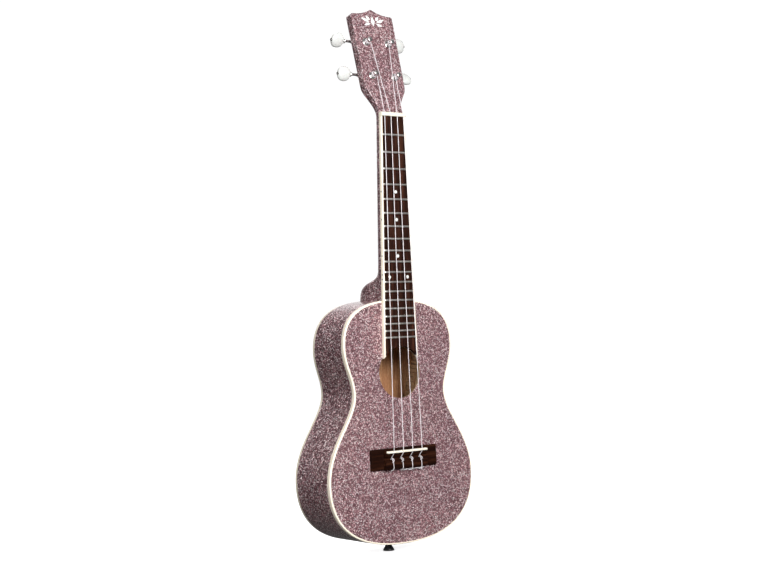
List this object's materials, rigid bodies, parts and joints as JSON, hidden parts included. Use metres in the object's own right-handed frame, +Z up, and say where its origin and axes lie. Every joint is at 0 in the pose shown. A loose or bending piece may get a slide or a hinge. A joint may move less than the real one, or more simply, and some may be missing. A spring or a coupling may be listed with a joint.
{
  "type": "ukulele",
  "caption": "Concert ukulele with a bound, waisted hollow body, heeled neck, tilted headstock, fretted fretboard, tie bridge, strings and open-gear tuners.",
  "frame": {"origin": "centre of the strap button's flat end, on the centre plane and halfway between the soundboard and the back", "axes": "+Z up the neck, -Y the way the soundboard and strings face, +X to the right of a viewer who faces the soundboard"},
  "size_m": [0.2066, 0.0779, 0.6263],
  "materials": {
    "glitter_lacquer": "mauve glitter under gloss lacquer",
    "cream_binding": "gloss",
    "rosewood": "oiled dark wood",
    "bone": "polished",
    "lining_wood": "bare wood",
    "brace_spruce": "bare wood",
    "fret_wire": "polished nickel alloy",
    "tuner_steel": "chrome plate",
    "pearl": "pearlescent",
    "nylon": "translucent white",
    "black_plastic": "gloss"
  },
  "bodies": {
    "instrument": {"back_binding": "cream_binding", "back_brace": "brace_spruce", "back_lining": "lining_wood", "back_plate": "glitter_lacquer", "bridge": "rosewood", "fret_01": "fret_wire", "fret_02": "fret_wire", "fret_03": "fret_wire", "fret_04": "fret_wire", "fret_05": "fret_wire", "fret_06": "fret_wire", "fret_07": "fret_wire", "fret_08": "fret_wire", "fret_09": "fret_wire", "fret_10": "fret_wire", "fret_11": "fret_wire", "fret_12": "fret_wire", "fret_13": "fret_wire", "fret_14": "fret_wire", "fret_15": "fret_wire", "fret_16": "fret_wire", "fret_17": "fret_wire", "fret_18": "fret_wire", "fret_19": "fret_wire", "fretboard": "rosewood", "fretboard_binding_left": "cream_binding", "fretboard_binding_right": "cream_binding", "front_binding": "cream_binding", "front_lining": "lining_wood", "neck": "glitter_lacquer", "neck_block": "lining_wood", "nut": "bone", "saddle": "bone", "side_left": "glitter_lacquer", "side_right": "glitter_lacquer", "soundboard": "glitter_lacquer", "strap_button": "black_plastic", "string_1": "nylon", "string_2": "nylon", "string_3": "nylon", "string_4": "nylon", "tail_block": "lining_wood", "top_brace_lower": "brace_spruce", "top_brace_upper": "brace_spruce", "tuner_plate_lower_left": "tuner_steel", "tuner_plate_lower_right": "tuner_steel", "tuner_plate_upper_left": "tuner_steel", "tuner_plate_upper_right": "tuner_steel"},
    "knob_shaft_lower_left": {"worm_lower_left": "tuner_steel", "knob_lower_left": "pearl"},
    "string_post_lower_left": {"post_lower_left": "tuner_steel"},
    "knob_shaft_lower_right": {"worm_lower_right": "tuner_steel", "knob_lower_right": "pearl"},
    "string_post_lower_right": {"post_lower_right": "tuner_steel"},
    "knob_shaft_upper_left": {"worm_upper_left": "tuner_steel", "knob_upper_left": "pearl"},
    "string_post_upper_left": {"post_upper_left": "tuner_steel"},
    "knob_shaft_upper_right": {"worm_upper_right": "tuner_steel", "knob_upper_right": "pearl"},
    "string_post_upper_right": {"post_upper_right": "tuner_steel"}
  },
  "joints": [
    {"name": "knob_lower_left_turn", "type": "hinge", "parent": "instrument", "child": "knob_shaft_lower_left", "pos_m": [-0.0163, -0.00426, 0.54746], "axis": [-1, 0, 0], "continuous": true},
    {"name": "post_lower_left_turn", "type": "hinge", "parent": "instrument", "child": "string_post_lower_left", "pos_m": [-0.0163, -0.01083, 0.54219], "axis": [0, 0.9703, -0.2419], "continuous": true},
    {"name": "knob_lower_right_turn", "type": "hinge", "parent": "instrument", "child": "knob_shaft_lower_right", "pos_m": [0.0163, -0.00426, 0.54746], "axis": [1, 0, 0], "continuous": true},
    {"name": "post_lower_right_turn", "type": "hinge", "parent": "instrument", "child": "string_post_lower_right", "pos_m": [0.0163, -0.01083, 0.54219], "axis": [0, 0.9703, -0.2419], "continuous": true},
    {"name": "knob_upper_left_turn", "type": "hinge", "parent": "instrument", "child": "knob_shaft_upper_left", "pos_m": [-0.0163, 0.00573, 0.58754], "axis": [-1, 0, 0], "continuous": true},
    {"name": "post_upper_left_turn", "type": "hinge", "parent": "instrument", "child": "string_post_upper_left", "pos_m": [-0.0163, -0.00084, 0.58227], "axis": [0, 0.9703, -0.2419], "continuous": true},
    {"name": "knob_upper_right_turn", "type": "hinge", "parent": "instrument", "child": "knob_shaft_upper_right", "pos_m": [0.0163, 0.00573, 0.58754], "axis": [1, 0, 0], "continuous": true},
    {"name": "post_upper_right_turn", "type": "hinge", "parent": "instrument", "child": "string_post_upper_right", "pos_m": [0.0163, -0.00084, 0.58227], "axis": [0, 0.9703, -0.2419], "continuous": true}
  ],
  "couplings": [
    {"joint": "post_lower_left_turn", "follows": "knob_lower_left_turn", "ratio": 0.071429},
    {"joint": "post_lower_right_turn", "follows": "knob_lower_right_turn", "ratio": 0.071429},
    {"joint": "post_upper_left_turn", "follows": "knob_upper_left_turn", "ratio": 0.071429},
    {"joint": "post_upper_right_turn", "follows": "knob_upper_right_turn", "ratio": 0.071429}
  ]
}
